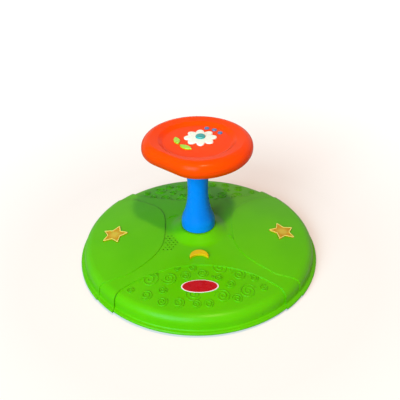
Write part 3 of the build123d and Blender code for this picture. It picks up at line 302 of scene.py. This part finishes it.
# ---------------------------------------------------------------- moulded marks on the seat
# Two short bowed lines stand up beside the hub, and the end of the mould's gate leaves a small pip
# low on the front wall. All belong to the seat's moulding and keep its green.
MARKS = np.array([[(57.5, -22.0), (63.5, -26.0), (66.0, -36.5)], [(-63.0, 35.0), (-57.0, 44.5), (-43.6, 46.5)]])
MARK_POINTS = 24
MARK_WIDTH = 2.4
MARK_HEIGHT = 1.5
GATE_PLACE = np.array([105.2, -196.8, 20.0])
GATE_RADIUS = 1.3
GATE_ROUND, GATE_RINGS = 16, 9


def channel_height(x, y):
    """Channel's top, one drop above the sunk panels."""
    return panel_height(x, y) + PANEL_DROP


# each line is the bow (1 - t)^2 a + 2 t (1 - t) b + t^2 c through its three places
t = np.linspace(0, 1, MARK_POINTS)[:, None]
bows = np.stack([(1 - t) ** 2 * a + 2 * t * (1 - t) * b + t ** 2 * c for a, b, c in MARKS])
marks = ridges(bows, np.full(len(MARKS), MARK_WIDTH), np.full(bows.shape[:2], MARK_HEIGHT), channel_height)
seat_relief("hub_side_marks", marks, grid_faces(len(MARKS), MARK_POINTS, marks.shape[2]))
# the pip is a ball: rings of points at even angles down from its top
across, down = np.meshgrid(np.linspace(0, 2 * np.pi, GATE_ROUND, endpoint=False), np.linspace(0, np.pi, GATE_RINGS))
ball = np.stack([np.sin(down) * np.cos(across), np.sin(down) * np.sin(across), np.cos(down)], -1)
seat_relief("gate_pip", GATE_PLACE + GATE_RADIUS * ball, grid_faces(1, GATE_RINGS, GATE_ROUND))


# ---------------------------------------------------------------- star lenses and lamps
# Two star windows of clear-tinted yellow polycarbonate, snapped in over small epoxy-capped lamps. The
# thick rim is paler with a painted highlight; the dished face is deeper, and paler over the lamp with a painted
# glow.
STAR_PLACE = (0.1664, -0.0046, 0.0491)      # metres, of the lens on the right
STAR_UP = (0.1353, -0.0038, 0.9908)         # its plane's upward direction
HIGHLIGHT_START, HIGHLIGHT_FULL = 0.0011, 0.0016        # metres above the lens's own plane
GLOW_EDGE, GLOW_FULL = 0.013, 0.005         # metres from the lens's middle


def star_lens(name, side):
    """Paler above the dish's floor, by the height over the lens's own plane, as a painted highlight on the rim, and
    paler over the lamp, as a painted glow.
    """
    material, tree, place = blank(name)
    middle = (side * STAR_PLACE[0], STAR_PLACE[1], STAR_PLACE[2])
    up = (side * STAR_UP[0], STAR_UP[1], STAR_UP[2])
    ground = float(np.dot(middle, up))
    height = add(tree, "VectorMath", {0: place, 1: up}, operation="DOT_PRODUCT").outputs["Value"]
    # painted highlight: the rim, raised above the dish's floor, is mixed towards pale yellow
    rim_highlight = add(tree, "MapRange", {"Value": height, "From Min": ground + HIGHLIGHT_START, "From Max": ground + HIGHLIGHT_FULL})
    away = add(tree, "VectorMath", {0: place, 1: middle}, operation="DISTANCE").outputs["Value"]
    # painted glow: the face pales towards the middle, over the lamp beneath
    glow = add(tree, "MapRange", {"Value": away, "From Min": GLOW_EDGE, "From Max": GLOW_FULL})
    face = add(tree, "Mix", {0: glow.outputs["Result"], 6: tinted(tree, place, "#c8930a", "#bd8a06", 9.0),
                             7: linear("#cfb034")}, data_type="RGBA").outputs[2]
    colour = add(tree, "Mix", {0: rim_highlight.outputs["Result"], 6: face, 7: linear("#efd96c")},
                 data_type="RGBA").outputs[2]
    shade(tree, colour, drift(tree, place, 8.0, 0.16, 0.24), rounded_grain(tree, place, 0.6, 1.4, 0.01),
          IOR=1.58, Specular_IOR_Level=0.12, Subsurface_Weight=0.15, Subsurface_Scale=0.003)
    return material


finish(star_lens("yellow_polycarbonate_left", -1), "star_lens_left")
finish(star_lens("yellow_polycarbonate_right", 1), "star_lens_right")
lamp_epoxy, tree, place = blank("lamp_epoxy")
shade(tree, tinted(tree, place, "#f3ead2", "#e9dfc4", 3.0), drift(tree, place, 2.0, 0.08, 0.14),
      rounded_grain(tree, place, 0.2, 0.8, 0.004), IOR=1.54)
finish(lamp_epoxy, "star_lamps")


# ---------------------------------------------------------------- moon button and its dome
# The crescent push button is opaque golden yellow ABS, which small fingers polish on top, so it is
# glossier than the seat. The silicone dome that springs it back is dull and dark.
button_yellow = moulded("golden_yellow_abs", "#dab008", "#d2a606", edge_mm=0.8, rough=(0.20, 0.28), IOR=1.54,
                        Specular_IOR_Level=0.10, Subsurface_Weight=0.06, Subsurface_Scale=0.002)
finish(button_yellow, "moon_button")
dome_rubber = moulded("switch_dome_silicone", "#3a3c40", "#303236", edge_mm=0.3, rough=(0.5, 0.6), IOR=1.42)
finish(dome_rubber, "switch_dome")


# ---------------------------------------------------------------- board, speaker and batteries
# A phenolic board, brown and dull, sits in its tray; the loudspeaker's paper cone and enamelled
# basket are black, so the grille's holes look dark; the three cells have a glossy printed wrap.
board_brown = moulded("phenolic_board", "#8a5a2b", "#7a4d23", edge_mm=0.2, rough=(0.45, 0.55), IOR=1.60)
finish(board_brown, "circuit_board")
speaker_black = moulded("black_paper_cone_and_basket", "#1c1d1e", "#141516", edge_mm=0.3, rough=(0.62, 0.74))
finish(speaker_black, "speaker")
cell_wrap = moulded("printed_cell_wrap", "#3f6f9f", "#375f88", edge_mm=0.4, rough=(0.20, 0.28), IOR=1.50)
finish(cell_wrap, "batteries")


# ---------------------------------------------------------------- label plate
# A plain oval plate of printed red vinyl, pressed into its seat on the front panel. Its semi-gloss
# print has a pale pink keyline that follows the oval just inside the edge.
KEYLINE_INNER, KEYLINE_FULL = 0.925, 0.945      # as shares of the way from the middle to the edge

label_red, tree, place = blank("printed_red_vinyl")
centred = add(tree, "VectorMath", {0: place, 1: (*(LABEL_CENTRE / 1000), 0.0)}, operation="SUBTRACT")
oval = add(tree, "VectorMath", {0: centred.outputs["Vector"], 1: (*(1000 / LABEL_HALF), 0.0)}, operation="MULTIPLY")
out = add(tree, "VectorMath", {0: oval.outputs["Vector"]}, operation="LENGTH").outputs["Value"]
keyline = add(tree, "MapRange", {"Value": out, "From Min": KEYLINE_INNER, "From Max": KEYLINE_FULL})
label_tone = add(tree, "Mix", {0: keyline.outputs["Result"], 6: tinted(tree, place, "#b8141c", "#ac1018", 20.0),
                               7: linear("#f3cfd6")}, data_type="RGBA").outputs[2]
shade(tree, label_tone, drift(tree, place, 9.0, 0.24, 0.34), rounded_grain(tree, place, 0.3, 1.0, 0.006), IOR=1.50)
finish(label_red, "label_plate")


# ---------------------------------------------------------------- post cover
# The waisted blue post is a gloss ABS sleeve over the steel tube, held by the collar. Its blue is
# even and deep, with narrow highlights down its length.
post_blue = moulded("sky_blue_abs_gloss", "#027fe0", "#017ad8", edge_mm=0.8, rough=(0.22, 0.30), IOR=1.54,
                    Specular_IOR_Level=0.08, Subsurface_Weight=0.04, Subsurface_Scale=0.003)
finish(post_blue, "post_cover")


# ---------------------------------------------------------------- handwheel
# Two orange ABS shells screwed together round the tube's head. Hands polish the rim, so its
# highlights are small and sharp and the orange stays strong.
wheel_orange = moulded("orange_abs_gloss", "#f74500", "#f14000", edge_mm=0.7, rough=(0.20, 0.27), IOR=1.54,
                       Specular_IOR_Level=0.05, Subsurface_Weight=0.05, Subsurface_Scale=0.003)
finish(wheel_orange, "wheel_lower_shell", "wheel_upper_shell")


# ---------------------------------------------------------------- flower in the dish
# A plain daisy of separate ABS mouldings pegged in the dish: white petals, teal eye, lime leaves and
# slate-blue dots. All are glossy, with softly rounded edges that catch a thin light.
petal_white = moulded("white_abs_gloss", "#f4f3ee", "#eae9e3", edge_mm=0.9, rough=(0.22, 0.30), IOR=1.54,
                      Subsurface_Weight=0.08, Subsurface_Scale=0.002)
finish(petal_white, "flower_petals")
eye_teal = moulded("teal_abs_gloss", "#129a9c", "#0f8d90", edge_mm=0.8, rough=(0.20, 0.28), IOR=1.54)
finish(eye_teal, "flower_eye")
leaf_lime = moulded("lime_abs_gloss", "#a5d61a", "#9bcb16", edge_mm=0.6, rough=(0.22, 0.30), IOR=1.54)
finish(leaf_lime, "flower_leaves")
dot_slate = moulded("slate_blue_abs_gloss", "#4a6fa8", "#43659b", edge_mm=0.6, rough=(0.22, 0.30), IOR=1.54)
finish(dot_slate, "dish_dots")


# ---------------------------------------------------------------- floor and backdrop
# A sheet of matt paper under a white sky. To the camera the paper is lifted towards white, more so
# with the distance from the object, so that no far edge shows; near the object it keeps the shadow.
FLOOR_HALF = 4.0
LIFT_NEAR, LIFT_FAR = 0.38, 1.0         # brightness added for the camera alone
LIFT_START, LIFT_END = 0.35, 1.7        # metres from the object's axis
SKY_LIGHT = 0.16

corners = [(-FLOOR_HALF, -FLOOR_HALF, 0), (FLOOR_HALF, -FLOOR_HALF, 0), (FLOOR_HALF, FLOOR_HALF, 0),
           (-FLOOR_HALF, FLOOR_HALF, 0)]
floor_mesh = bpy.data.meshes.new("floor")
floor_mesh.from_pydata(corners, [], [(0, 1, 2, 3)])
floor = bpy.data.objects.new("floor", floor_mesh)
bpy.context.collection.objects.link(floor)
paper, tree, place = blank("matt_paper_floor")
sheet = add(tree, "BsdfDiffuse", {"Color": linear("#c6b4b1"), "Roughness": 0.6})
away = add(tree, "VectorMath", {0: place}, operation="LENGTH").outputs["Value"]
whiter = add(tree, "MapRange", {"Value": away, "From Min": LIFT_START, "From Max": LIFT_END,
                                "To Min": LIFT_NEAR, "To Max": LIFT_FAR}).outputs["Result"]
shown = add(tree, "Math", {0: add(tree, "LightPath").outputs["Is Camera Ray"], 1: whiter}, operation="MULTIPLY")
lift = add(tree, "Emission", {"Color": (1, 1, 1, 1), "Strength": shown.outputs["Value"]})
both = add(tree, "AddShader", {0: sheet.outputs["BSDF"], 1: lift.outputs["Emission"]})
add(tree, "OutputMaterial", {"Surface": both.outputs["Shader"]})
floor_mesh.materials.append(paper)

world = bpy.data.worlds.new("studio")
bpy.context.scene.world = world
world.use_nodes = True
tree = world.node_tree
tree.nodes.clear()
path = add(tree, "LightPath")
mirrored = add(tree, "Math", {0: path.outputs["Is Glossy Ray"], 1: path.outputs["Is Transmission Ray"]},
               operation="MAXIMUM")
seen = add(tree, "Math", {0: path.outputs["Is Camera Ray"], 1: mirrored.outputs["Value"]}, operation="MAXIMUM")
level = add(tree, "MapRange", {"Value": seen.outputs["Value"], "To Min": SKY_LIGHT, "To Max": 1.0})
sky = add(tree, "Background", {"Color": (1, 1, 1, 1), "Strength": level.outputs["Result"]})
add(tree, "OutputWorld", {"Surface": sky.outputs["Background"]})


# ---------------------------------------------------------------- lamps
# A small warm lamp high in front makes the handwheel's shadow on the seat, and a large cool one low
# on the left fills it softly, as a window does.
SEAT_MIDDLE = (0, 0, 0.08)


def soft_lamp(name, place, size, power, colour):
    """Square area lamp at place in metres, facing the seat's middle: its Z axis points away from it."""
    light = bpy.data.lights.new(name, "AREA")
    light.size = size
    light.energy = power
    light.color = linear(colour)[:3]
    lamp = bpy.data.objects.new(name, light)
    here = np.array(place)
    back = (here - SEAT_MIDDLE) / np.linalg.norm(here - SEAT_MIDDLE)
    right = np.cross((0, 0, 1), back)
    right /= np.linalg.norm(right)
    turn = np.eye(4)
    turn[:3] = np.stack([right, np.cross(back, right), back, here], 1)
    lamp.matrix_world = Matrix(turn.tolist())
    bpy.context.collection.objects.link(lamp)


soft_lamp("key_lamp", place=(0.36, -1.10, 2.50), size=0.16, power=46.0, colour="#ffcd94")
soft_lamp("window_fill", place=(-1.55, -2.95, 1.85), size=2.3, power=214.0, colour="#b6f2ff")


# ---------------------------------------------------------------- camera
# Stands in front of the object and looks down on it, level but for a slight lean. Pitch is the
# angle below the horizon, yaw the turn to the right, and roll the lean about the line of sight.
LENS_MM = 46.3
SENSOR_MM = 36.0
PITCH = np.radians(33.91)
YAW = np.radians(0.60)
ROLL = np.radians(-0.73)
CAMERA_PLACE = (-0.0048, -0.8165, 0.6745)

ahead = np.array([np.sin(YAW) * np.cos(PITCH), np.cos(YAW) * np.cos(PITCH), -np.sin(PITCH)])
level_right = np.array([np.cos(YAW), -np.sin(YAW), 0.0])
level_up = np.cross(level_right, ahead)
stand = np.eye(4)
stand[:3, 0] = np.cos(ROLL) * level_right + np.sin(ROLL) * level_up
stand[:3, 1] = np.cos(ROLL) * level_up - np.sin(ROLL) * level_right
stand[:3, 2] = -ahead
stand[:3, 3] = CAMERA_PLACE
view = bpy.data.cameras.new("camera")
view.sensor_width = SENSOR_MM
view.lens = LENS_MM
camera = bpy.data.objects.new("camera", view)
camera.matrix_world = Matrix(stand.tolist())
bpy.context.collection.objects.link(camera)
bpy.context.scene.camera = camera
bpy.context.scene.view_settings.view_transform = "Standard"
